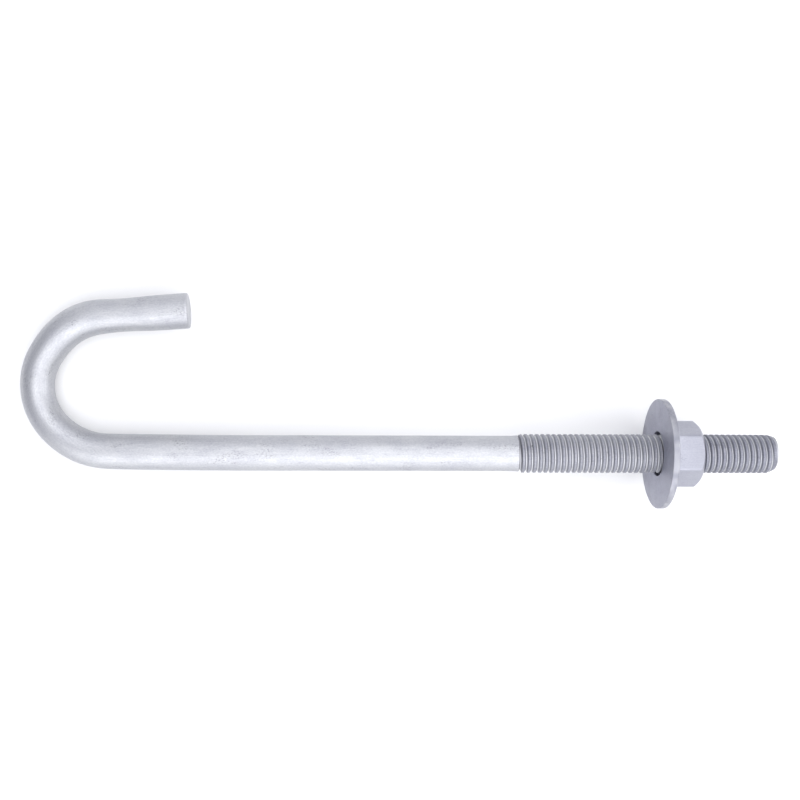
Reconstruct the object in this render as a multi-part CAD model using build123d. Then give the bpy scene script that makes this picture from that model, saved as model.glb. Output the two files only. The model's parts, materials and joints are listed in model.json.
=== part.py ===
from build123d import *
import math
import os

# A galvanised hooked foundation bolt with one flat washer and one hexagon nut.
# Lengths are in millimetres and angles in degrees.
#
# The bolt is drawn in its own frame: the shank's axis is the X axis, x is 0 where the shank
# starts to bow, the thread points along +X and the hook turns up towards +Y.
# At the end everything is laid down as it comes to rest on a floor at z = 0: on the washer's
# rim and on the back of the hook.

INCH = 25.4

# Rod. The bend is the shank's slight bow and four stretches, in the order in which they leave
# the shank.
overall_length = 12 * INCH  # from the back of the hook to the end of the thread
shank_diameter = 14.3
bow_length = 60.0
bow_turn = 1.0
lead_in_radius = 30.3  # all bend radii are those of the rod's centre line
lead_in_turn = 51.3
main_radius = 24.1
main_turn = 68.6
slack_radius = 47.6  # the flatter stretch between the two strokes of the bender
slack_turn = 8.4
crown_radius = 26.0
arm_opening = 4.2  # how far the arm spreads away from the shank
hook_length = 67.4  # from the back of the hook to its tip, along the shank
tip_cut_lean = 3.0  # the rod was sheared this far out of square
tip_edge_radius = 0.7

# Thread: 5/8 inch, 11 turns to the inch, modelled as its outer diameter.
thread_diameter = 5 / 8 * INCH
thread_length = 104.0  # with its run-out
runout_length = 1.3
end_diameter = 13.4  # of the flat at the end of the thread
end_chamfer_length = 2.4
free_thread = 31.3  # thread that stands out beyond the nut

# Flat washer.
washer_diameter = 44.6
washer_hole = 18.1
washer_thickness = 2.6
washer_rim_break = 0.4  # the punch rolled the rim's edge on the nut's side
washer_edge_break = 0.2  # of the other edges

# Hexagon nut.
nut_across_flats = 23.6
nut_height = 13.5
nut_corner_radius = 1.3
nut_chamfer_angle = 35.0
nut_face_diameter = 22.2  # of the round faces that the chamfers leave
nut_bore_clearance = 0.1  # between the thread's outside and the nut's bore, on the radius
nut_countersink = 0.8  # depth of the cone at each mouth of the bore
nut_turned = 5.2  # the nut's topmost flat faces this far from straight up, towards the arm

# Precision of the search for the rest position.
path_samples = 600
search_steps = 40
steepest_tilt = 30.0
widest_roll = 15.0


def bend_stretches():
    """Radius and turn of each stretch of the bend. The last one ends where the arm starts."""
    turned = bow_turn + lead_in_turn + main_turn + slack_turn
    return [
        (bow_length / math.radians(bow_turn), bow_turn),
        (lead_in_radius, lead_in_turn),
        (main_radius, main_turn),
        (slack_radius, slack_turn),
        (crown_radius, 180 - arm_opening - turned),
    ]


def bend_lines():
    """Centre line of the bend, as tangent arcs from the shank's axis round to the arm."""
    point, heading = Vector(0, 0), Vector(-1, 0)
    lines = []
    for radius, turn in bend_stretches():
        arc = JernArc(point, heading, radius, -turn)
        lines.append(arc)
        point, heading = arc @ 1, arc % 1
    return lines


def bend_reach():
    """How far the back of the hook stands behind the start of the bend."""
    return shank_diameter / 2 - Wire(bend_lines()).bounding_box().min.X


# Stations along the shank.
thread_end = overall_length - bend_reach()
thread_start = thread_end - thread_length
nut_back = thread_end - free_thread
nut_face = nut_back - nut_height  # where the nut bears on the washer
washer_face = nut_face - washer_thickness  # the washer's face on the hook's side
tip_x = hook_length - bend_reach()


def rod_path():
    """Centre line of the rod, from the thread's run-out round to the tip."""
    bend = bend_lines()
    start, heading = bend[-1] @ 1, bend[-1] % 1
    arm_length = (tip_x - start.X) / heading.X
    shank = Line((thread_start, 0), (0, 0))
    arm = Line(start, start + heading * arm_length)
    return Wire([shank] + bend + [arm])


def revolved(profile):
    """Solid of revolution about the shank's axis of a closed outline of (x, radius) points."""
    outline = make_face(Polyline(*profile, close=True).edges())
    return revolve(outline, axis=Axis.X, revolution_arc=360)


def threaded_end():
    """Run-out cone, thread at its outer diameter and the chamfered end."""
    start, end = thread_start, thread_end
    rod, thread = shank_diameter / 2, thread_diameter / 2
    return revolved(
        [
            (start, 0),
            (start, rod),
            (start + runout_length, thread),
            (end - end_chamfer_length, thread),
            (end, end_diameter / 2),
            (end, 0),
        ]
    )


def tip_cutter(path):
    """Block beyond the tip, whose near face leans by the shear's error."""
    size = 3 * shank_diameter
    block = Box(size, size, size, align=(Align.MIN, Align.CENTER, Align.CENTER))
    heading = math.degrees(math.atan2((path % 1).Y, (path % 1).X))
    return Pos(path @ 1) * Rot(0, 0, heading) * Rot(0, tip_cut_lean, 0) * block


def hook_bolt():
    """The whole bolt: one rod, bent cold, threaded at one end and sheared at the other."""
    path = rod_path()
    over = Line(path @ 1, (path @ 1) + (path % 1) * shank_diameter)
    rod = sweep(
        Plane(path @ 0, z_dir=path % 0) * Circle(shank_diameter / 2),
        path=Wire(path.edges() + [over.edge()]),
    )
    bolt = rod - tip_cutter(path) + threaded_end()
    tip_edges = bolt.edges().sort_by_distance(path @ 1)[0]
    return fillet(tip_edges, tip_edge_radius)


def flat_washer():
    """Punched washer, concentric with the thread and flat against the nut."""
    inner, outer = washer_hole / 2, washer_diameter / 2
    section = Rectangle(washer_thickness, outer - inner, align=Align.MIN)
    section = Pos(washer_face, inner) * section
    rolled = section.vertices().group_by(Axis.Y)[-1].sort_by(Axis.X)[-1]
    section = chamfer(rolled, washer_rim_break)
    corners = section.vertices().group_by(Axis.Y)[0]
    corners += section.vertices().group_by(Axis.X)[0].sort_by(Axis.Y)[-1:]
    section = chamfer(corners, washer_edge_break)
    return revolve(section, axis=Axis.X, revolution_arc=360)


def hexagon_prism():
    """Six-sided bar as long as the nut, with the corners worn round by rolling."""
    apothem = nut_across_flats / 2
    outline = RegularPolygon(apothem, 6, major_radius=False, rotation=30)
    outline = fillet(outline.vertices(), nut_corner_radius)
    # A flat of the outline faces its own X axis: here that axis is turned up from the bolt's Z.
    up = Vector(0, math.sin(math.radians(nut_turned)), math.cos(math.radians(nut_turned)))
    return extrude(Plane((nut_face, 0, 0), x_dir=up, z_dir=(1, 0, 0)) * outline, nut_height)


def nut_envelope():
    """The turned form of the nut: a chamfer on the corners of both faces."""
    face = nut_face_diameter / 2
    corner = nut_across_flats / 2 / math.cos(math.radians(30))
    depth = (corner - face) * math.tan(math.radians(nut_chamfer_angle))
    return revolved(
        [
            (nut_face, 0),
            (nut_face, face),
            (nut_face + depth, corner),
            (nut_back - depth, corner),
            (nut_back, face),
            (nut_back, 0),
        ]
    )


def nut_hole():
    """Bore that runs over the thread, countersunk at both mouths."""
    bore = thread_diameter / 2 + nut_bore_clearance
    mouth = bore + nut_countersink
    return revolved(
        [
            (nut_face, 0),
            (nut_face, mouth),
            (nut_face + nut_countersink, bore),
            (nut_back - nut_countersink, bore),
            (nut_back, mouth),
            (nut_back, 0),
        ]
    )


def hex_nut():
    return (hexagon_prism() & nut_envelope()) - nut_hole()


def bisect(function, low, high):
    """Where a rising function crosses zero."""
    for _ in range(search_steps):
        middle = (low + high) / 2
        if function(middle) < 0:
            low = middle
        else:
            high = middle
    return (low + high) / 2


def up_at(tilt, roll):
    """The floor's upward direction in the bolt's frame, for a tilt and a roll in degrees."""
    tilt, roll = math.radians(tilt), math.radians(roll)
    side = math.cos(tilt)
    return Vector(math.sin(tilt), side * math.sin(roll), side * math.cos(roll))


def rod_contact(points, up):
    """Lowest point of the hook: one rod radius below its lowest centre point."""
    return min(points, key=lambda point: point.dot(up)) - up * (shank_diameter / 2)


def washer_contact(up):
    """Lowest point of the washer's rim, on its edge towards the hook."""
    across = Vector(0, up.Y, up.Z).normalized()
    return Vector(washer_face + washer_edge_break, 0, 0) - across * (washer_diameter / 2)


def tilt_at(points, roll):
    """Tilt at which the hook and the washer's rim are equally low."""

    def rim_above_rod(tilt):
        up = up_at(tilt, roll)
        return (washer_contact(up) - rod_contact(points, up)).dot(up)

    return bisect(rim_above_rod, 0, steepest_tilt)


def rest_up(solids):
    """Upward direction, in the bolt's frame, once the bolt has come to rest.

    The bolt stands on two points, and it rolls until its centre of mass is over the line
    between them.
    """
    path = rod_path()
    points = [path @ (i / path_samples) for i in range(path_samples + 1)]
    volume = sum(solid.volume for solid in solids)
    mass_centre = sum((s.center(CenterOf.MASS) * s.volume for s in solids), Vector()) / volume

    def lever(roll):
        up = up_at(tilt_at(points, roll), roll)
        rim, rod = washer_contact(up), rod_contact(points, up)
        return (mass_centre - rim).dot(up.cross(rim - rod))

    roll = bisect(lever, -widest_roll, widest_roll)
    up = up_at(tilt_at(points, roll), roll)
    return up, rod_contact(points, up).dot(up)


def rest_location(solids):
    """Moves the bolt's frame to the floor, with the shank along X and the box centred."""
    up, floor = rest_up(solids)
    along = Vector(1, 0, 0) - up * up.X
    laid = Plane(origin=up * floor, x_dir=along, z_dir=up).location.inverse()
    box = Compound([laid * solid for solid in solids]).bounding_box()
    return Pos(-box.center().X, -box.center().Y, 0) * laid


def build():
    """All three pieces, by node name, in their rest position."""
    pieces = {"hook_bolt": hook_bolt(), "flat_washer": flat_washer(), "hex_nut": hex_nut()}
    place = rest_location(list(pieces.values()))
    return {name: place * piece for name, piece in pieces.items()}


os.makedirs("parts", exist_ok=True)
for name, piece in build().items():
    export_step(piece, os.path.join("parts", name + ".step"))
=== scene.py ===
"""A hot-dip galvanised foundation bolt with its washer and nut, lying on a pale studio floor.

Every length in the surface functions is in millimetres, in the bolt's own frame: x runs along
the shank, from the end of the thread at 0 back to the hook at negative x, y points across from
the shank to the hook's arm, and z squarely up from the hook's plane. Angles round the rod start
at the side of the hook's arm and turn towards z. BoltFrame takes such points to the room, in
metres.
"""

import json
from math import cos, pi, radians, sin, tan, tau

import bpy
import numpy as np
from bpy.props import FloatProperty, FloatVectorProperty, PointerProperty
from bpy.types import NodeSocket, Operator, Panel, PropertyGroup
from mathutils import Matrix, Vector


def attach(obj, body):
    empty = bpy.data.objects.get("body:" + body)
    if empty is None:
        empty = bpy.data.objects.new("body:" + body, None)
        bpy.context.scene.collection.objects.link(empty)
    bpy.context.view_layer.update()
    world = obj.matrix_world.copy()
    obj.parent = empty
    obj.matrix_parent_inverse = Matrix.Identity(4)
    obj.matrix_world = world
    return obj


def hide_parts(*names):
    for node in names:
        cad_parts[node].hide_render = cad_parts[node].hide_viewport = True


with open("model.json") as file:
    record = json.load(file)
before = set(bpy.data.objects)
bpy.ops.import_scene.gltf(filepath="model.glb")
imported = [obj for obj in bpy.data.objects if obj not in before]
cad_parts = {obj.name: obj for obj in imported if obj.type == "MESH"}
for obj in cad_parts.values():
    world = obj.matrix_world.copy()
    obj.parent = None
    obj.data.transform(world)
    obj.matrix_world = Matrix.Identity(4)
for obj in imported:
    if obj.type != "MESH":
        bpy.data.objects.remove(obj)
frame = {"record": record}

bl_info = {
    "name": "Hooked foundation bolt",
    "version": (1, 0, 0),
    "blender": (4, 5, 0),
    "location": "3D View > Sidebar > Hooked bolt",
    "description": "Makes a galvanised hooked bolt, its washer and nut, and a studio for them",
    "category": "Object",
}

MM = 0.001
BITE = 0.9  # mm by which the thread rolls bit into the rod past the thread's length
END_EDGE = 0.5  # mm of rounding at the edge of the thread's end


# Frame


def named(kind, name):
    """One mount or joint of the record, by its name."""
    record = frame["record"]
    entries = record["mounts"] if kind == "mounts" else record["behaviour"]["joints"]
    return next(entry for entry in entries if entry["name"] == name)


class BoltFrame:
    """The bolt's own frame, found from the record's mounts and joints."""

    def __init__(self, end_chamfer):
        free = named("mounts", "thread_free_end")
        seat = named("mounts", "washer_face")
        turn = named("joints", "nut_turn")
        self.along = Vector(turn["axis"]).normalized()
        half = free["dims"]["length_mm"] / 2
        self.origin = Vector(free["pos_m"]) + self.along * (half * MM + end_chamfer)
        off_axis = Vector(seat["pos_m"]) - self.origin
        self.washer_face = off_axis.dot(self.along) / MM
        self.across = (off_axis - self.along * off_axis.dot(self.along)).normalized()
        self.above = self.along.cross(self.across)
        self.nut_middle = (Vector(turn["pos_m"]) - self.origin).dot(self.along) / MM

    def room(self, x, y, z):
        """Points in the room, in metres, for arrays of x, y and z in millimetres."""
        axes = np.array([self.along, self.across, self.above])
        grid = np.stack(np.broadcast_arrays(x, y, z), axis=-1)
        return np.array(self.origin) + MM * grid @ axes


# Numbers


def smooth_step(value):
    """0 below 0, 1 above 1, and 3 v^2 - 2 v^3 in between."""
    v = np.clip(value, 0, 1)
    return v * v * (3 - 2 * v)


def eased_ramp(value, ease):
    """0 below 0, 1 above 1 and straight in between, with both corners rounded over ease."""
    rise = lambda v: (v + np.hypot(v, ease)) / 2
    return rise(value) - rise(value - 1)


def lesser(a, b, ease):
    """The smaller of a and b, with the corner where they cross rounded over ease."""
    return (a + b - np.hypot(a - b, ease)) / 2


def ripple(along, angle, shortest, longest, seed, waves=28):
    """Uneven surface between 0 and 1: a sum of cosine waves in random directions.

    Each wave is cos(m angle + k along + phase), with m whole, so it meets itself round the rod.
    """
    random = np.random.default_rng(seed)
    length = np.exp(random.uniform(np.log(shortest), np.log(longest), waves))
    lean = random.uniform(0, tau, waves)
    turns = np.round(8 * np.cos(lean) * tau / length)
    steps = np.sin(lean) * tau / length
    phase = random.uniform(0, tau, waves)
    total = 0
    for m, k, shift in zip(turns, steps, phase):
        total = total + np.cos(m * angle + k * along + shift)
    return np.clip(0.5 + total / np.sqrt(waves) / 3.2, 0, 1)


# Meshes


def skin(name, grid, poles, finish, **attributes):
    """Piece from a grid of points, row by row, each row closed on itself.

    With poles, the first and last rows are closed by a fan to their middles. Without, the last
    row joins the first. Attributes are a number or a vector for each point of the grid.
    """
    rows, columns = grid.shape[:2]
    count = rows * columns
    index = np.arange(count).reshape(rows, columns)
    upper = index[:-1] if poles else index
    lower = index[1:] if poles else np.roll(index, -1, axis=0)
    quads = np.stack(
        [upper, np.roll(upper, -1, 1), np.roll(lower, -1, 1), lower], axis=-1
    ).reshape(-1, 4)
    points, fans = grid.reshape(-1, 3), np.empty((0, 3), int)
    if poles:
        points = np.concatenate([points, [grid[0].mean(0), grid[-1].mean(0)]])
        first, last = index[0], index[-1]
        start = np.stack([np.roll(first, -1), first, np.full(columns, count)], axis=-1)
        end = np.stack([last, np.roll(last, -1), np.full(columns, count + 1)], axis=-1)
        fans = np.concatenate([start, end])
    corners = np.concatenate([quads.ravel(), fans.ravel()])
    starts = np.concatenate(
        [np.arange(len(quads)) * 4, quads.size + np.arange(len(fans)) * 3]
    )
    mesh = bpy.data.meshes.new(name)
    mesh.vertices.add(len(points))
    mesh.vertices.foreach_set("co", points.astype(np.float32).ravel())
    mesh.loops.add(len(corners))
    mesh.loops.foreach_set("vertex_index", corners.astype(np.int32))
    mesh.polygons.add(len(starts))
    mesh.polygons.foreach_set("loop_start", starts.astype(np.int32))
    mesh.update(calc_edges=True)
    mesh.shade_smooth()
    for attribute, values in attributes.items():
        vector = np.ndim(values) == 3
        values = np.broadcast_to(values, (rows, columns, 3) if vector else (rows, columns))
        flat = values.reshape(count, -1)
        if poles:
            flat = np.concatenate([flat, [values[0].mean(0).ravel(), values[-1].mean(0).ravel()]])
        layer = mesh.attributes.new(attribute, "FLOAT_VECTOR" if vector else "FLOAT", "POINT")
        layer.data.foreach_set("vector" if vector else "value", flat.astype(np.float32).ravel())
    mesh.materials.append(finish)
    piece = bpy.data.objects.new(name, mesh)
    bpy.context.scene.collection.objects.link(piece)
    return piece


def rounded_loop(corners, breaks, steps):
    """Closed outline with each corner rounded, for outlines of shape (columns, corners, 2).

    The rounding leaves the corner's two sides at the distance in breaks, and follows
    (1 - t)^2 a + 2 t (1 - t) corner + t^2 b from one side's point a to the other's point b.
    """
    before = np.roll(corners, 1, axis=1) - corners
    after = np.roll(corners, -1, axis=1) - corners
    unit = lambda way: way / np.linalg.norm(way, axis=-1, keepdims=True)
    reach = np.asarray(breaks, float)[None, :, None]
    a, b = corners + unit(before) * reach, corners + unit(after) * reach
    t = np.linspace(0, 1, steps)[:, None]
    a, b, corner = a[:, :, None], b[:, :, None], corners[:, :, None]
    curve = (1 - t) ** 2 * a + 2 * t * (1 - t) * corner + t**2 * b
    return curve.reshape(len(corners), -1, 2)


# Sizes and colours


def size(name, millimetres, description):
    """A length for the panel, given in millimetres."""
    return FloatProperty(
        name=name,
        description=description,
        default=millimetres * MM,
        min=0,
        subtype="DISTANCE",
        unit="LENGTH",
        precision=5,
    )


def angle(name, degrees, description):
    """An angle for the panel, given in degrees."""
    return FloatProperty(
        name=name, description=description, default=radians(degrees), subtype="ANGLE"
    )


def linear(colour):
    """Linear red, green and blue of an sRGB hex colour."""
    parts = np.array([int(colour[i : i + 2], 16) for i in (1, 3, 5)]) / 255
    return tuple(np.where(parts <= 0.04045, parts / 12.92, ((parts + 0.055) / 1.055) ** 2.4))


def colour(name, code, description):
    """A colour for the panel, given as its sRGB hex code."""
    return FloatVectorProperty(
        name=name,
        description=description,
        default=linear(code),
        min=0,
        max=1,
        size=3,
        subtype="COLOR",
    )


def radiance(name, value, where):
    """How bright a lamp or the room is, for the panel."""
    return FloatProperty(name=name, description=f"Radiance of the {where}", default=value, min=0)


class RodSizes(PropertyGroup):
    """The bent rod and its rolled thread."""

    overall: size("Overall length", 304.8, "From the back of the hook to the end of the thread")
    rod: size("Rod diameter", 14.3, "Diameter of the plain shank")
    bow_length: size("Bow length", 60.0, "Of the shank's slight bow before the bend")
    bow_turn: angle("Bow turn", 1.0, "How far the bow turns the rod, towards the arm")
    lead_in_radius: size("Lead-in radius", 30.3, "Where the rod first leaves the shank")
    lead_in_turn: angle("Lead-in turn", 51.3, "How far the lead-in turns the rod")
    main_radius: size("Main radius", 24.02, "The bend round the former")
    main_turn: angle("Main turn", 68.6, "How far the former turned the rod")
    slack_radius: size("Slack radius", 47.6, "The flatter stretch between two strokes")
    slack_turn: angle("Slack turn", 8.4, "How far the flatter stretch turns")
    crown_radius: size("Crown radius", 26.0, "The last stretch, up to the arm")
    arm_opening: angle("Arm opening", 4.2, "How far the arm spreads from the shank")
    hook: size("Hook length", 67.4, "From the back of the hook to its tip")
    bend_flattening: size("Bend flattening", 0.7, "How much the rod thins in the bend, per side")
    crown_flattening: size("Crown flattening", 0.5, "The same where the bend ends in the arm")
    tip_lean: angle("Tip lean", 3.0, "How far out of square the tip was sheared")
    tip_edge: size("Tip edge", 0.7, "Rounding of the sheared tip")
    thread: size("Thread diameter", 15.875, "Over the crests")
    pitch: size("Thread pitch", 25.4 / 11, "Eleven turns to the inch")
    thread_depth: size("Thread depth", 0.95, "From crest to root, with zinc in the roots")
    thread_length: size("Thread length", 104.0, "From the plain shank to the end")
    end_flat: size("End diameter", 13.6, "Of the flat at the end of the thread")
    end_chamfer: size("End chamfer", 2.4, "Length of the cone at the end of the thread")
    end_offset: size("End offset", 0.3, "How far off centre the end was chamfered")
    zinc_waves: size("Zinc waves", 0.03, "How deep the zinc skin dips between its high spots")


class WasherSizes(PropertyGroup):
    """The punched flat washer."""

    outside: size("Diameter", 44.5, "Over the rim")
    hole: size("Hole", 18.1, "Diameter of the punched hole")
    thickness: size("Thickness", 2.6, "Of the sheet")
    rolled_edge: size("Rolled edge", 0.6, "Rounding that the punch left on the nut's side")
    lean: angle("Lean", 1.54, "Tilt on the bolt: the hole is wide, and one side touches the nut")
    lean_side: angle("Lean side", 51.0, "Where round the bolt it touches the nut, from the arm up")


class NutSizes(PropertyGroup):
    """The hexagon nut."""

    flats: size("Across flats", 23.6, "Between opposite flats")
    height: size("Height", 13.5, "Along the bolt")
    corner: size("Corner rounding", 1.3, "Rounding of the six upright corners")
    face: size("Face diameter", 22.2, "Of the round faces that the chamfers leave")
    chamfer: angle("Chamfer", 35.0, "Slope of the chamfers on the corners")
    turned: angle("Turned", 5.2, "How far the top flat faces towards the arm")
    minor: size("Minor diameter", 13.7, "Over the crests of the inside thread")
    slack: size("Thread slack", 0.12, "Between the two threads")


class Finishes(PropertyGroup):
    """Colours of the zinc and of the room."""

    rod_zinc: colour("Rod zinc", "#b8b9bb", "Bright zinc on the rod")
    # On the thread's crests and flanks this dull grey is also painted shade.
    alloy_and_shade: colour("Zinc-iron alloy", "#80818b", "Dull layer left where the zinc was spun off")
    # In the thread's roots this bright zinc is also painted light.
    pool: colour("Pooled zinc", "#d5d5d7", "Bright zinc in the thread's roots and on the rim")
    rod_patina: colour("Rod patina", "#a2a3aa", "Duller zinc in patches on the rod")
    washer_zinc: colour("Washer zinc", "#acadb9", "Bright zinc on the washer")
    washer_patina: colour("Washer patina", "#9b9caa", "Duller zinc on the washer")
    nut_zinc: colour("Nut zinc", "#a2a3ac", "Bright zinc on the nut")
    nut_patina: colour("Nut patina", "#999aa4", "Duller zinc on the nut")
    ash: colour("Ash", "#525155", "Flux ash and dirt in pits and roots")
    room: colour("Room", "#e6e8f2", "Cool daylight on the room's white walls")
    floor: colour("Floor", "#e4e4e4", "Matt white studio board")


class Studio(PropertyGroup):
    """Camera and light."""

    distance: size("Camera distance", 413.4, "From the aim point to the camera")
    aim_along: size("Aim along", 152.5, "From the end of the thread back to the aim point")
    aim_across: size("Aim across", 21.5, "From the shank's line towards the arm")
    swing: angle("Camera swing", 1.67, "How far the camera stands over towards the hook")
    roll: angle("Camera roll", -0.2, "Turn of the camera about its own line")
    lens: FloatProperty(name="Lens", description="Focal length", default=46.0, unit="CAMERA")
    overhead_light: radiance("Overhead light", 1.86, "box overhead")
    shank_light: radiance("Shank light", 1.62, "box at the shank's side")
    arm_light: radiance("Arm light", 0.58, "box at the arm's side")
    end_light: radiance("End light", 2.05, "box at the thread's end")
    room_light: radiance("Room light", 0.8, "pale room")


class HookedBolt(PropertyGroup):
    """Everything that the panel shows."""

    rod: PointerProperty(type=RodSizes)
    washer: PointerProperty(type=WasherSizes)
    nut: PointerProperty(type=NutSizes)
    finishes: PointerProperty(type=Finishes)
    studio: PointerProperty(type=Studio)


class InMillimetres:
    """Reads a group of sizes with its lengths in millimetres and its angles in radians."""

    def __init__(self, group):
        for key, kind in group.bl_rna.properties.items():
            if kind.type == "FLOAT":
                scale = MM if kind.unit == "LENGTH" else 1
                setattr(self, key, getattr(group, key) / scale)


# Bolt


def trace(lengths, turns, spacing=0.1, settle=5.0):
    """A line of stretches, each turning evenly, as distance, x, y and heading.

    The heading is pi less the angle turned so far, averaged over the settling length, because a
    rod's curvature can't jump. x and y are the running sums of its cosine and sine.
    """
    ends = np.concatenate([[0], np.cumsum(lengths)])
    turned = np.concatenate([[0], np.cumsum(turns)])
    distance = np.arange(0, ends[-1] + spacing, spacing)
    half = int(settle / spacing / 2)
    even = np.pad(np.interp(distance, ends, turned), half, mode="edge")
    heading = pi - np.convolve(even, np.full(2 * half + 1, 1 / (2 * half + 1)), mode="valid")
    middle = (heading[1:] + heading[:-1]) / 2
    x = np.concatenate([[0], np.cumsum(np.cos(middle))]) * spacing
    y = np.concatenate([[0], np.cumsum(np.sin(middle))]) * spacing
    return distance, x, y, heading


def rod_line(rod):
    """The rod's centre line from the end of the thread round to the tip, with the length of the
    whole and of its straight part.

    The straight shank takes what the hook leaves of the overall length, and the arm what
    the bend leaves of the hook's. A first trace with short straight ends finds how far the bend
    reaches.
    """
    radii = [rod.lead_in_radius, rod.main_radius, rod.slack_radius, rod.crown_radius]
    turns = [rod.lead_in_turn, rod.main_turn, rod.slack_turn]
    turns.append(pi - rod.arm_opening - rod.bow_turn - sum(turns))
    bend = [rod.bow_length] + [radius * turn for radius, turn in zip(radii, turns)]
    turns = [0, rod.bow_turn] + turns + [0]
    spare = 10.0
    _, x, _, _ = trace([spare] + bend + [spare], turns)
    reach = rod.rod / 2 - x.min() - spare
    arm = (rod.hook - reach - x[-1] - spare) / cos(rod.arm_opening) + spare
    lengths = [rod.overall - reach] + bend + [arm]
    return trace(lengths + [spare], turns + [0]), sum(lengths), lengths[0]


def thread_drop(back, angle, rod):
    """How far the thread's surface lies below its crests, from 0 at a crest to 1 at a root.

    u is the distance from the nearest crest in turns, (back - first) / pitch + angle / turn, for a
    right-hand thread. The drop is 0 over the crest's flat, then a 60 degree flank, then the root,
    with the corners eased and scaled to reach 0 and 1 again. Rolling pushes the steel up from
    both flanks, and leaves a faint seam, 0.12 exp(-(distance / 0.2 mm)^2), along the crest.
    """
    first_crest = 2.23  # mm from the thread's end, on the arm's side
    crest_flat = 0.18  # of a turn, on each side of the crest's middle
    ease = 0.2
    flank = rod.thread_depth * tan(radians(30)) / rod.pitch
    u = (back - first_crest) / rod.pitch + angle / tau
    u = np.abs(u - np.round(u))
    top, root = eased_ramp((np.array([0, 0.5]) - crest_flat) / flank, ease)
    seam = 0.12 * np.exp(-((u * rod.pitch / 0.2) ** 2))
    return (eased_ramp((u - crest_flat) / flank, ease) - top) / (root - top) + seam


def rod_radius(back, angle, rod, straight, total):
    """Radius of the bolt at a distance back from the thread's end, and an angle round it.

    The plain rod is r = d / 2, thinner by the flattening times cos^2(angle) in the bend, where
    the former pressed it in a bell exp(-(distance / width)^2) about the bend's middle and about
    the arm's start. The thread is r = crest - depth * drop. They change over where the rolls bit
    into the rod: the plain rod is pushed up a little there, the last crest is low and the first
    bite deep. The smaller of the thread and the end's cone is kept.
    """
    start, arm = rod.thread_length + BITE, 27
    bend_start, bend_end = straight + rod.bow_length, total - arm
    middle = bend_start + 0.38 * (bend_end - bend_start)
    thinner = rod.bend_flattening * np.exp(-(((back - middle) / 24) ** 2))
    thinner = thinner + rod.crown_flattening * np.exp(-(((back - bend_end - 1) / 9) ** 2))
    pushed_up = 0.2 * np.exp(-np.abs(back - start) / 1.2)
    plain = rod.rod / 2 + pushed_up - thinner * np.cos(angle) ** 2
    crest = rod.thread / 2 - 0.55 * (1 - smooth_step((start - back) / 1.6))
    drop = thread_drop(back, angle, rod)
    first_bite = 0.35 * np.exp(-(((start - back - 1.2) / 1.3) ** 2))
    threaded = crest - (rod.thread_depth + first_bite) * drop
    bitten = smooth_step((start - back + 0.1) / 0.5)
    radius = plain + (threaded - plain) * bitten
    flat = rod.end_flat / 2 + rod.end_offset * np.cos(angle)
    slope = (rod.thread / 2 - flat) / (rod.end_chamfer + 0.6)
    inset = np.clip(END_EDGE - back, 0, END_EDGE)
    corner = np.sqrt(np.clip(END_EDGE**2 - inset**2, 0, None)) - END_EDGE
    cone = flat + corner + slope * back
    return np.minimum(lesser(radius, cone, 0.15), cone), drop * bitten


def bolt_grid(rod, columns=80, rows_a_turn=20):
    """Grid of the whole bolt and, for its finish, how far each point was bared of zinc, with
    painted shade on the thread's crests and flanks, how far zinc pooled there, with painted light
    in the thread's roots, and its place on the rod before it was bent.

    Each row is the ring centre + r(angle) * (cos(angle) inner + sin(angle) z), where inner is the
    side of the rod towards the middle of the bend. Over the last 16 mm the rings lean over to the
    shear's slope, and both ends are closed by rings that shrink inwards.
    """
    (distance, x, y, heading), total, straight = rod_line(rod)
    edge, tip = END_EDGE, rod.tip_edge
    quarter = np.linspace(0, pi / 2, 6)
    rolled = np.arange(edge, rod.thread_length + 2.5, rod.pitch / rows_a_turn)
    plain = np.linspace(rolled[-1] + 0.2, total - tip - 0.4, 215)
    back = np.concatenate(
        [edge * (1 - np.cos(quarter[:-1])), rolled, plain, total - tip * (1 - np.sin(quarter))]
    )[:, None]
    angle = np.linspace(0, tau, columns, endpoint=False)[None, :]
    radius, groove = rod_radius(back, angle, rod, straight, total)
    shrink = tip - np.sqrt(np.clip(tip**2 - np.clip(back - total + tip, 0, tip) ** 2, 0, None))
    radius = radius - shrink
    dips = ripple(back, angle, 9, 40, seed=4) * 0.6 + ripple(back, angle, 1.2, 5, seed=9) * 0.4
    radius = radius - rod.zinc_waves * dips
    inward = np.array([0.15, 0.4, 0.7, 0.9])[:, None]
    end_face = (np.zeros_like(inward), inward * radius[:1])
    tip_face = (np.full_like(inward, total), inward[::-1] * radius[-1:])
    back = np.concatenate([end_face[0], back, tip_face[0]])
    radius = np.concatenate([end_face[1], radius, tip_face[1]])
    groove = np.pad(groove, ((len(inward), len(inward)), (0, 0)))
    height = radius * np.sin(angle)
    leaned = back + smooth_step((back - total + 16) / 16) * tan(rod.tip_lean) * height
    take = lambda values: np.interp(leaned, distance, values)
    inner = radius * np.cos(angle)
    turned = take(heading)
    grid = (take(x) + inner * np.sin(turned), take(y) - inner * np.cos(turned), height)
    # Zinc is spun off the hot thread's crests, most where the nut goes on, and stays in its roots.
    # The crests and flanks are made dull grey as painted shade, and the roots bright as painted
    # light, the other way round from the shading that the thread's own shape gives.
    threaded = smooth_step((rod.thread_length + BITE - leaned) / 0.5)
    nut_end = smooth_step((40 - leaned) / 6)
    root = smooth_step((groove - 0.6) / 0.35)
    bared = threaded * (0.7 + 0.3 * nut_end) * (1 - root)
    return grid, bared, threaded * root * (0.6 - 0.42 * nut_end), (-leaned, inner, height)


# Washer and nut


def washer_loop(washer, face):
    """Outline of the washer's section as (x, radius): four corners, the nut's side rolled over."""
    inner, outer = washer.hole / 2, washer.outside / 2
    back = face + washer.thickness
    corners = np.array([[[face, inner], [face, outer], [back, outer], [back, inner]]])
    return rounded_loop(corners, [0.25, 0.2, washer.rolled_edge, 0.25], 6)


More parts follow.
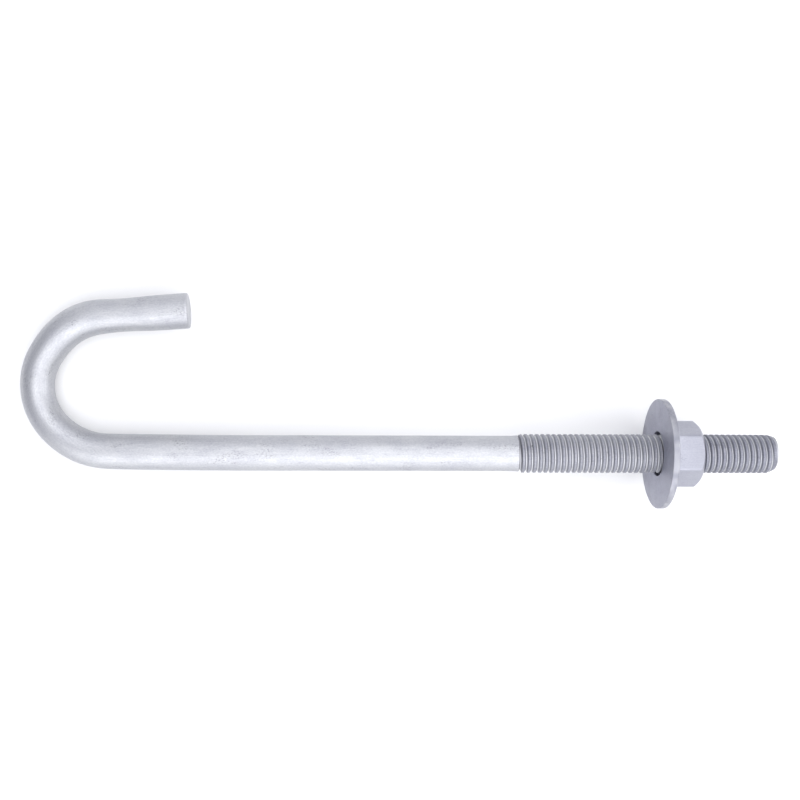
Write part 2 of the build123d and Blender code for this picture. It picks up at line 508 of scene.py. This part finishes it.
def washer_grid(loop, angle, washer, nut_face):
    """Grid of the washer: its outline carried round the bolt, then leant to touch the nut.

    Each point moves along the bolt by tan(lean) times its reach towards the touching side, less
    the same at the edge of the nut's face, whose radius is nut_face.
    """
    x, r = loop[..., 0], loop[..., 1]
    reach = r * np.cos(angle - washer.lean_side)
    return x + tan(washer.lean) * (reach - nut_face), r * np.cos(angle), r * np.sin(angle)


def hexagon_radius(angle, nut):
    """Distance from the nut's axis to its sides.

    On a flat it is apothem / cos(angle from the flat's middle). Within a corner's rounding it is
    c cos(e) + sqrt(q^2 - c^2 sin^2(e)), with e the angle from the corner, q the rounding and
    c = (apothem - q) / cos(30 degrees).
    """
    apothem, q = nut.flats / 2, nut.corner
    top_flat = pi / 2 - nut.turned
    sixth = pi / 3
    off_flat = (angle - top_flat + sixth / 2) % sixth - sixth / 2
    e = sixth / 2 - np.abs(off_flat)
    c = (apothem - q) / cos(sixth / 2)
    reach = np.arctan2(q * sin(sixth / 2), c + q * cos(sixth / 2))
    rounding = c * np.cos(e) + np.sqrt(np.clip(q**2 - (c * np.sin(e)) ** 2, 0, None))
    return np.where(e < reach, rounding, apothem / np.cos(off_flat))


def nut_angles(nut, columns_a_side=28):
    """Angles round the nut, closer together at its corners.

    Over each side, from corner to corner, the share v of the way becomes
    v - 0.85 sin(2 pi v) / (2 pi).
    """
    v = np.linspace(0, 1, columns_a_side, endpoint=False)
    side = (v - 0.85 * np.sin(tau * v) / tau) * pi / 3
    corner = pi / 2 - nut.turned + pi / 6
    return (corner + (np.arange(6)[:, None] * pi / 3 + side)).ravel()


def nut_grid(nut, rod, middle, rows_a_turn=15):
    """Grid of the nut: an outline carried round the axis, whose corners follow the hexagon.

    The chamfer is the cone r = face + x / tan(slope). It meets the side at
    x = (side - face) tan(slope). Inside, the surface is the bolt's thread plus the slack,
    kept between the nut's minor radius and the countersinks.
    """
    angle = nut_angles(nut)
    side, face = hexagon_radius(angle, nut), nut.face / 2
    low, high = middle - nut.height / 2, middle + nut.height / 2
    depth = (side - face) * tan(nut.chamfer)
    mouth = rod.thread / 2 + 0.9
    outline = [
        (low, mouth),
        (low, face),
        (low + depth, side),
        (high - depth, side),
        (high, face),
        (high, mouth),
    ]
    corners = np.array([np.broadcast_arrays(x, r, angle)[:2] for x, r in outline])
    corners = np.moveaxis(corners, 2, 0)
    outside = rounded_loop(corners, [0.15, 0.12, 0.12, 0.12, 0.12, 0.15], 4)
    outside = np.moveaxis(outside, 0, 1)
    # The rounding's first and last points lead into the bore, so the bore starts a step inside.
    x = np.arange(high - 0.15, low + 0.14, -rod.pitch / rows_a_turn)[:, None]
    drop = thread_drop(-x, angle[None, :], rod)
    bore = rod.thread / 2 - rod.thread_depth * drop + nut.slack
    sink = mouth - 1.1 * np.minimum(high - x, x - low)
    bore = np.maximum(np.clip(bore, nut.minor / 2, rod.thread / 2 + nut.slack), sink)
    inside = np.stack([np.broadcast_to(x, bore.shape), bore], axis=-1)
    loop = np.concatenate([outside[3:-3], inside])
    deep = np.concatenate([np.zeros(outside[3:-3].shape[:2]), smooth_step((mouth - bore) / 1.2)])
    grid = (loop[..., 0], loop[..., 1] * np.cos(angle), loop[..., 1] * np.sin(angle))
    return grid, deep


# Finishes


def add(tree, kind, sockets=None, **settings):
    """Adds a node. Settings are its own, and sockets take a value or another node's output."""
    node = tree.nodes.new(kind)
    for setting, value in settings.items():
        setattr(node, setting, value)
    for socket, value in (sockets or {}).items():
        if isinstance(value, NodeSocket):
            tree.links.new(value, node.inputs[socket])
        else:
            node.inputs[socket].default_value = value
    return node


def per_metre(millimetres):
    """Scale of a pattern on Object coordinates whose features are this large."""
    return 1 / (millimetres * MM)


def unbent(x, y, z):
    """The same place in metres, as one array, for a finish that follows the rod."""
    return MM * np.stack(np.broadcast_arrays(x, y, z), axis=-1)


def galvanised(name, zinc, patina, look, roughness, mottle, grain):
    """Hot-dip galvanised steel: a satin zinc skin over the steel.

    To the eye it is a pale, slightly cool metal with no sharp reflections. The zinc froze in
    soft patches, duller and brighter by a little. Where it was spun off, the dull grey alloy
    under it shows, and where it pooled it is brighter; on the thread these are also painted
    shade on the crests and flanks and painted light in the roots. Ash from the bath left pits
    and specks a few tenths of a millimetre across, and handling rubbed greyer scuffs into it.
    Mottle and grain are the widths of its patches and of its finest pattern, in millimetres.
    """
    material = bpy.data.materials.new(name)
    material.use_nodes = True
    tree = material.node_tree
    shader = tree.nodes["Principled BSDF"]
    place = add(tree, "ShaderNodeAttribute", attribute_name="unbent").outputs["Vector"]
    bared = add(tree, "ShaderNodeAttribute", attribute_name="bared").outputs["Fac"]
    pooled = add(tree, "ShaderNodeAttribute", attribute_name="pooled").outputs["Fac"]

    # Rolling drew the rod's surface out, so each pattern is longer along the rod than across it.
    # Length along and across in millimetres, detail and roughness. Zinc's finest grain is too
    # fine to show, and is drawn at the size in grain.
    patterns = {
        "patches": (1.8 * mottle, mottle, 4.0, 0.62),
        "streaks": (9.0, 0.5, 3.0, 0.6),
        "grain": (1.7 * grain, grain, 3.0, 0.7),
        "waves": (6.0, 3.0, 2.0, 0.5),
        "rubbed": (13.0, 5.0, 2.0, 0.5),
        "flakes": (0.9, 0.5, 2.0, 0.6),
    }
    noise = {}
    for key, (along, across, detail, rough) in patterns.items():
        scale = (per_metre(along), per_metre(across), per_metre(across))
        drawn = add(tree, "ShaderNodeVectorMath", {0: place, 1: scale}, operation="MULTIPLY")
        settings = {"Vector": drawn.outputs[0], "Scale": 1.0, "Detail": detail, "Roughness": rough}
        noise[key] = add(tree, "ShaderNodeTexNoise", settings).outputs["Fac"]

    # Dullness: the grain, 0.6 of the patches and 0.4 of the streaks. It also makes the bared and
    # the pooled places uneven, and with them the painted shade on the thread's crests and the
    # painted light in its roots.
    mixed = noise["grain"]
    for key, weight in (("patches", 0.6), ("streaks", 0.4)):
        sockets = {0: noise[key], 1: weight, 2: mixed}
        mixed = add(tree, "ShaderNodeMath", sockets, operation="MULTIPLY_ADD").outputs[0]
    dull = add(
        tree, "ShaderNodeMapRange", {"Value": mixed, "From Min": 0.74, "From Max": 1.3}
    ).outputs["Result"]
    uneven = add(
        tree, "ShaderNodeMath", {0: dull, 1: 0.5, 2: 0.72}, operation="MULTIPLY_ADD"
    ).outputs[0]
    # Dull grey where the zinc was spun off; on the thread's crests and flanks this is also painted
    # shade.
    spun_off_and_shade = add(tree, "ShaderNodeMath", {0: bared, 1: uneven}, operation="MULTIPLY").outputs[0]
    uneven = add(tree, "ShaderNodeMath", {0: dull, 1: 0.35}, operation="ADD").outputs[0]
    # Bright zinc where it pooled; in the thread's roots this is also painted light.
    filled_and_light = add(tree, "ShaderNodeMath", {0: uneven, 1: pooled}, operation="MULTIPLY").outputs[0]

    # Scuffs: flakes about 0.6 mm across, only where a patch some 12 mm long was rubbed.
    rubbed = add(
        tree, "ShaderNodeMapRange", {"Value": noise["rubbed"], "From Min": 0.54, "From Max": 0.66}
    ).outputs["Result"]
    flakes = add(
        tree,
        "ShaderNodeMapRange",
        {"Value": noise["flakes"], "From Min": 0.52, "From Max": 0.64, "To Max": 0.36},
    ).outputs["Result"]
    scuffed = add(tree, "ShaderNodeMath", {0: rubbed, 1: flakes}, operation="MULTIPLY").outputs[0]

    # Ash pits: one in most cells of a pattern 9 mm by 5 mm, of uneven size, bent out of round by
    # noise. The largest are about 1.5 mm long.
    scale = (per_metre(9.0), per_metre(5.0), per_metre(5.0))
    drawn = add(tree, "ShaderNodeVectorMath", {0: place, 1: scale}, operation="MULTIPLY").outputs[0]
    cells = add(tree, "ShaderNodeTexVoronoi", {"Vector": drawn, "Scale": 1.0, "Randomness": 1.0})
    bent = add(
        tree,
        "ShaderNodeMath",
        {0: noise["grain"], 1: 0.12, 2: cells.outputs["Distance"]},
        operation="MULTIPLY_ADD",
    ).outputs[0]
    random = add(tree, "ShaderNodeSeparateColor", {"Color": cells.outputs["Color"]}).outputs["Red"]
    reach = add(
        tree,
        "ShaderNodeMapRange",
        {"Value": random, "From Min": 0.4, "From Max": 1.0, "To Min": 0.03, "To Max": 0.155},
    ).outputs["Result"]
    pit = add(tree, "ShaderNodeMath", {0: reach, 1: bent}, operation="SUBTRACT").outputs[0]
    pitted = add(
        tree,
        "ShaderNodeMapRange",
        {"Value": pit, "From Min": 0.0, "From Max": 0.03, "To Max": 0.75},
    ).outputs["Result"]

    coat = (*zinc, 1)
    layers = (
        (dull, patina),
        (spun_off_and_shade, look.alloy_and_shade),
        (filled_and_light, look.pool),
        (scuffed, look.ash),
        (pitted, look.ash),
    )
    for share, tint in layers:
        sockets = {"Factor": share, 6: coat, 7: (*tint, 1)}
        coat = add(tree, "ShaderNodeMix", sockets, data_type="RGBA").outputs[2]

    # The duller the zinc, the rougher.
    gloss = add(
        tree,
        "ShaderNodeMapRange",
        {
            "Value": mixed,
            "From Min": 0.78,
            "From Max": 1.24,
            "To Min": roughness - 0.08,
            "To Max": roughness + 0.08,
        },
    ).outputs["Result"]
    height = add(
        tree,
        "ShaderNodeMath",
        {0: noise["waves"], 1: 6.0, 2: noise["grain"]},
        operation="MULTIPLY_ADD",
    ).outputs[0]
    relief = add(tree, "ShaderNodeBump", {"Height": height, "Distance": 0.011 * MM})
    tree.links.new(coat, shader.inputs["Base Color"])
    tree.links.new(gloss, shader.inputs["Roughness"])
    tree.links.new(relief.outputs["Normal"], shader.inputs["Normal"])
    shader.inputs["Metallic"].default_value = 1.0
    return material


def painted_board(tint):
    """Matt emulsion on board: the roller left a faint tooth, and it has no gloss."""
    material = bpy.data.materials.new("matt_emulsion_board")
    material.use_nodes = True
    tree = material.node_tree
    shader = tree.nodes["Principled BSDF"]
    place = add(tree, "ShaderNodeTexCoord").outputs["Object"]
    tooth = add(
        tree, "ShaderNodeTexNoise", {"Vector": place, "Scale": per_metre(1.5), "Detail": 2.0}
    ).outputs["Fac"]
    relief = add(tree, "ShaderNodeBump", {"Height": tooth, "Strength": 0.2, "Distance": 0.01 * MM})
    tree.links.new(relief.outputs["Normal"], shader.inputs["Normal"])
    shader.inputs["Base Color"].default_value = (*tint, 1)
    shader.inputs["Roughness"].default_value = 0.9
    return material


# Operators


class MakeBolt(Operator):
    """Makes the hooked rod with its rolled thread"""

    bl_idname = "hooked_bolt.make_bolt"
    bl_label = "Hooked rod"

    def execute(self, context):
        settings = context.scene.hooked_bolt
        rod, look = InMillimetres(settings.rod), settings.finishes
        grid, bared, pooled, straight = bolt_grid(rod)
        finish = galvanised(
            "galvanised_rod",
            look.rod_zinc,
            look.rod_patina,
            look,
            roughness=0.5,
            mottle=7.0,
            grain=0.5,
        )
        place = BoltFrame(settings.rod.end_chamfer)
        piece = skin(
            "hooked_rod",
            place.room(*grid),
            True,
            finish,
            # The first of these shares also paints shade on the thread's crests and flanks, and the
            # second paints light in its roots.
            bared=bared,
            pooled=pooled,
            unbent=unbent(*straight),
        )
        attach(piece, "bolt")
        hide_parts("hook_bolt")
        return {"FINISHED"}


class MakeWasher(Operator):
    """Makes the punched flat washer"""

    bl_idname = "hooked_bolt.make_washer"
    bl_label = "Flat washer"

    def execute(self, context):
        settings = context.scene.hooked_bolt
        washer, look = InMillimetres(settings.washer), settings.finishes
        place = BoltFrame(settings.rod.end_chamfer)
        loop = washer_loop(washer, place.washer_face)[0][:, None]
        angle = np.linspace(0, tau, 180, endpoint=False)[None, :]
        nut_face = InMillimetres(settings.nut).face / 2
        grid = washer_grid(loop, angle, washer, nut_face)
        rim = smooth_step((loop[..., 1] - washer.outside / 2 + 0.3) / 0.25)
        # Zinc ran round the rim and froze there in uneven drops, 3 to 10 mm long.
        runs = ripple(loop[..., 0], angle, 1.2, 4, seed=5)
        # It hangs in the hole's play until its rim stands on the floor.
        points = place.room(*grid)
        points[..., 2] -= points[..., 2].min()
        finish = galvanised(
            "galvanised_washer",
            look.washer_zinc,
            look.washer_patina,
            look,
            roughness=0.5,
            mottle=5.0,
            grain=0.4,
        )
        piece = skin(
            "flat_washer_plate",
            points,
            False,
            finish,
            bared=rim,
            pooled=rim * (0.02 + 0.46 * runs),
            unbent=unbent(*grid),
        )
        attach(piece, "washer")
        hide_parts("flat_washer")
        return {"FINISHED"}


class MakeNut(Operator):
    """Makes the hexagon nut with its inside thread"""

    bl_idname = "hooked_bolt.make_nut"
    bl_label = "Hexagon nut"

    def execute(self, context):
        settings = context.scene.hooked_bolt
        nut, rod = InMillimetres(settings.nut), InMillimetres(settings.rod)
        look = settings.finishes
        place = BoltFrame(settings.rod.end_chamfer)
        grid, bared = nut_grid(nut, rod, place.nut_middle)
        finish = galvanised(
            "galvanised_nut",
            look.nut_zinc,
            look.nut_patina,
            look,
            roughness=0.45,
            mottle=5.0,
            grain=0.4,
        )
        piece = skin(
            "hexagon_nut",
            place.room(*grid),
            False,
            finish,
            bared=bared,
            pooled=0.0,
            unbent=unbent(*grid),
        )
        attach(piece, "nut")
        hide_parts("hex_nut")
        return {"FINISHED"}


class MakeStudio(Operator):
    """Makes the floor, the soft light and the camera"""

    bl_idname = "hooked_bolt.make_studio"
    bl_label = "Studio"

    def execute(self, context):
        scene, settings = context.scene, context.scene.hooked_bolt
        studio = settings.studio
        place = BoltFrame(settings.rod.end_chamfer)

        half = 6.0  # metres, so that its edge is far off from every side
        corners = [(-half, -half, 0), (half, -half, 0), (half, half, 0), (-half, half, 0)]
        mesh = bpy.data.meshes.new("studio_floor")
        mesh.from_pydata(corners, [], [(0, 1, 2, 3)])
        mesh.materials.append(painted_board(settings.finishes.floor))
        floor = bpy.data.objects.new("studio_floor", mesh)
        scene.collection.objects.link(floor)

        world = bpy.data.worlds.new("pale_room")
        world.use_nodes = True
        backdrop = world.node_tree.nodes["Background"]
        backdrop.inputs["Color"].default_value = (*settings.finishes.room, 1)
        backdrop.inputs["Strength"].default_value = studio.room_light
        scene.world = world

        # Each lamp: width, height, place and radiance. Radiance is power over pi times the area.
        lamps = [
            ("overhead_box", 0.9, 2.0, (0, 0, 1.0), studio.overhead_light),
            ("shank_side_box", 3.0, 1.6, (0, -1.3, 0.75), studio.shank_light),
            ("arm_side_box", 3.0, 1.2, (0, 1.3, 0.6), studio.arm_light),
            ("thread_end_box", 1.2, 2.0, (1.4, 0, 0.6), studio.end_light),
        ]
        for name, width, depth, where, radiance in lamps:
            box = bpy.data.lights.new(name, "AREA")
            box.shape = "RECTANGLE"
            box.size, box.size_y = width, depth
            box.energy = radiance * pi * width * depth
            light = bpy.data.objects.new(name, box)
            light.location = where
            light.rotation_euler = (-Vector(where)).to_track_quat("-Z", "Y").to_euler()
            scene.collection.objects.link(light)

        right = place.along * cos(studio.roll) - place.across * sin(studio.roll)
        up = place.across * cos(studio.roll) + place.along * sin(studio.roll)
        aim = place.origin - place.along * studio.aim_along + place.across * studio.aim_across
        back = place.above * cos(studio.swing) - right * sin(studio.swing)
        lens = bpy.data.cameras.new("camera")
        lens.sensor_width, lens.lens = 36.0, studio.lens
        lens.clip_start = 0.01
        camera = bpy.data.objects.new("camera", lens)
        sideways = up.cross(back)
        turn = Matrix([sideways, up, back]).transposed().to_4x4()
        camera.matrix_world = Matrix.Translation(aim + back * studio.distance) @ turn
        scene.collection.objects.link(camera)
        scene.camera = camera
        scene.view_settings.view_transform = "Standard"
        return {"FINISHED"}


class HookedBoltPanel(Panel):
    """Sizes, colours and the operators that use them"""

    bl_idname = "VIEW3D_PT_hooked_bolt"
    bl_label = "Hooked bolt"
    bl_space_type = "VIEW_3D"
    bl_region_type = "UI"
    bl_category = "Hooked bolt"

    def draw(self, context):
        settings = context.scene.hooked_bolt
        groups = [
            (settings.rod, MakeBolt),
            (settings.washer, MakeWasher),
            (settings.nut, MakeNut),
            (settings.studio, MakeStudio),
            (settings.finishes, None),
        ]
        for group, operator in groups:
            box = self.layout.box()
            for key in group.bl_rna.properties.keys():
                if key not in ("rna_type", "name"):
                    box.prop(group, key)
            if operator:
                box.operator(operator.bl_idname)


CLASSES = (
    RodSizes,
    WasherSizes,
    NutSizes,
    Finishes,
    Studio,
    HookedBolt,
    MakeBolt,
    MakeWasher,
    MakeNut,
    MakeStudio,
    HookedBoltPanel,
)


def register():
    """Makes the settings, the operators and the panel known."""
    for kind in CLASSES:
        bpy.utils.register_class(kind)
    bpy.types.Scene.hooked_bolt = PointerProperty(type=HookedBolt)


def unregister():
    """Takes them away again."""
    del bpy.types.Scene.hooked_bolt
    for kind in reversed(CLASSES):
        bpy.utils.unregister_class(kind)


def main():
    """Makes everything in order."""
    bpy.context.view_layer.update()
    register()
    bpy.ops.hooked_bolt.make_bolt()
    bpy.ops.hooked_bolt.make_washer()
    bpy.ops.hooked_bolt.make_nut()
    bpy.ops.hooked_bolt.make_studio()


if __name__ == "__main__":
    main()
